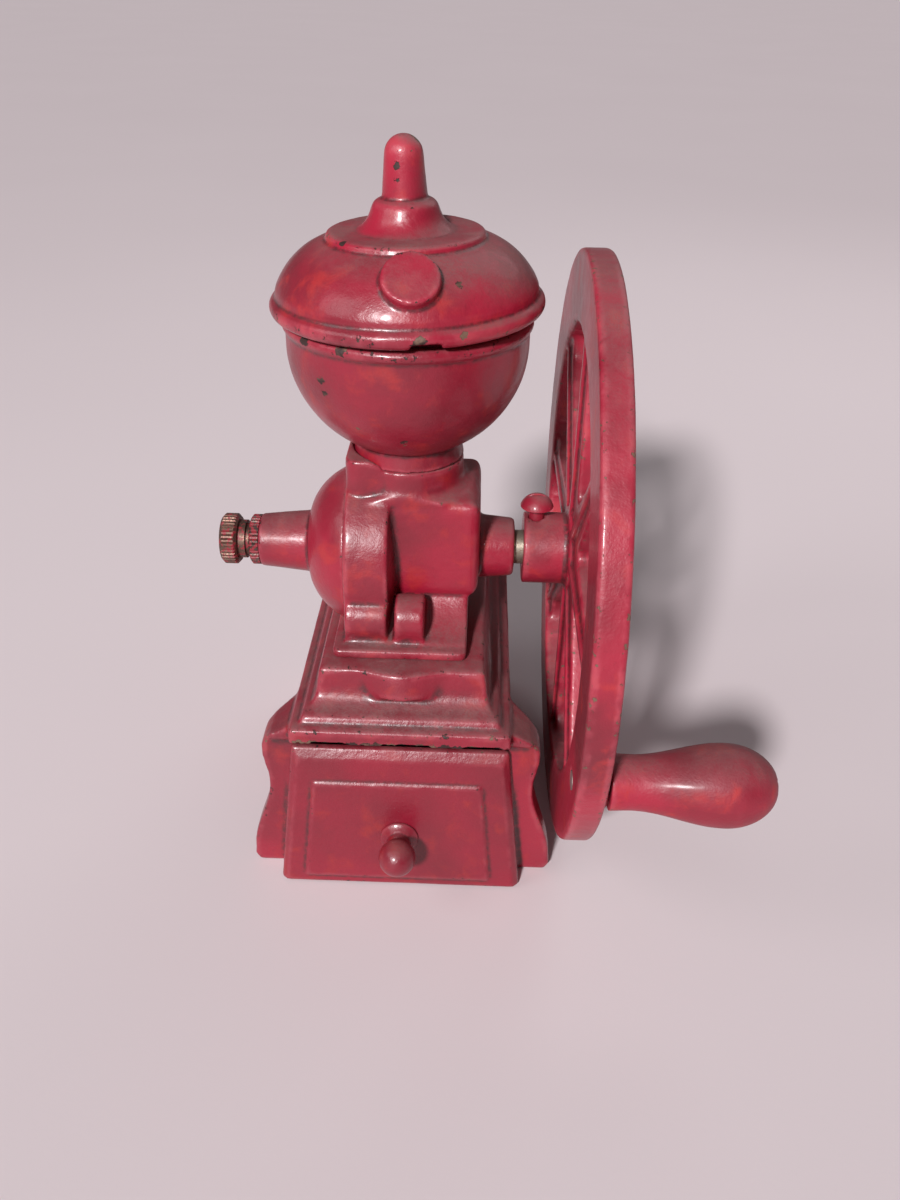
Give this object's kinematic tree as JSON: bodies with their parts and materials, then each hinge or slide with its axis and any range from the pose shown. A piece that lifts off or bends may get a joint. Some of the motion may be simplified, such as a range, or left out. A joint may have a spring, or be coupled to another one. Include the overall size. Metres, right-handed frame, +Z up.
{
  "type": "coffee grinder mill",
  "caption": "Red painted cast-iron coffee mill with a hopper, a spoked flywheel with a grip at the side, an adjusting screw and a drawer in a box base.",
  "frame": {"origin": "on the ground, below the vertical axis of the hopper", "axes": "+Z up, +X along the shaft towards the flywheel, -Y towards the drawer front"},
  "size_m": [0.2071, 0.229, 0.27],
  "materials": {
    "red_paint": "old hand-brushed red paint on rough cast iron, dusty on top and chipped at the edges",
    "grip_paint": "turned wood, painted red, worn smooth",
    "tin_sheet": "dull tinned sheet",
    "plain_steel": "tarnished",
    "dark_steel": "dark, with paint left in the knurl",
    "burr_iron": "bare, worn",
    "bush_brass": "worn",
    "aged_brass": "darkened, with red paint left on it"
  },
  "bodies": {
    "mill": {"base_housing": "red_paint", "mill_housing": "red_paint", "body_bolts": "plain_steel", "chamber_cover": "red_paint", "outer_burr": "burr_iron", "right_bush": "bush_brass", "left_bush": "bush_brass", "burr_spring": "plain_steel", "hopper_bowl": "red_paint", "hopper_screws": "plain_steel"},
    "drawer": {"drawer_front": "red_paint", "drawer_tray": "tin_sheet", "drawer_rivets": "plain_steel", "drawer_knob": "red_paint", "knob_nut": "plain_steel"},
    "thrust": {"thrust_ball": "plain_steel"},
    "rotor": {"inner_burr": "burr_iron", "feed_auger": "burr_iron", "shaft": "plain_steel", "flywheel": "red_paint", "hub_screw": "red_paint", "crank_pin": "plain_steel"},
    "handle": {"handle_grip": "grip_paint"},
    "adjuster": {"adjusting_screw": "aged_brass"},
    "locknut": {"lock_nut": "dark_steel"},
    "lid": {"lid": "red_paint"}
  },
  "joints": [
    {"name": "drawer_slide", "type": "slide", "parent": "mill", "child": "drawer", "axis": [0, -1, 0], "range_m": [0, 0.09]},
    {"name": "burr_gap", "type": "slide", "parent": "mill", "child": "thrust", "axis": [-1, 0, 0], "range_m": [0, 0.00125]},
    {"name": "wheel_spin", "type": "hinge", "parent": "thrust", "child": "rotor", "pos_m": [0, 0, 0.119], "axis": [1, 0, 0], "continuous": true},
    {"name": "handle_spin", "type": "hinge", "parent": "rotor", "child": "handle", "pos_m": [0.1, -0.09377, 0.08016], "axis": [1, 0, 0], "continuous": true},
    {"name": "adjuster_turn", "type": "hinge", "parent": "thrust", "child": "adjuster", "pos_m": [-0.06, 0, 0.119], "axis": [1, 0, 0], "range_deg": [-360, 0]},
    {"name": "locknut_turn", "type": "hinge", "parent": "mill", "child": "locknut", "pos_m": [-0.0615, 0, 0.119], "axis": [1, 0, 0], "range_deg": [-90, 0]},
    {"name": "lid_lift", "type": "slide", "parent": "mill", "child": "lid", "axis": [0, 0, 1], "range_m": [0, 0.03]}
  ],
  "couplings": [
    {"joint": "adjuster_turn", "follows": "burr_gap", "rad_per_m": -5026.5}
  ]
}
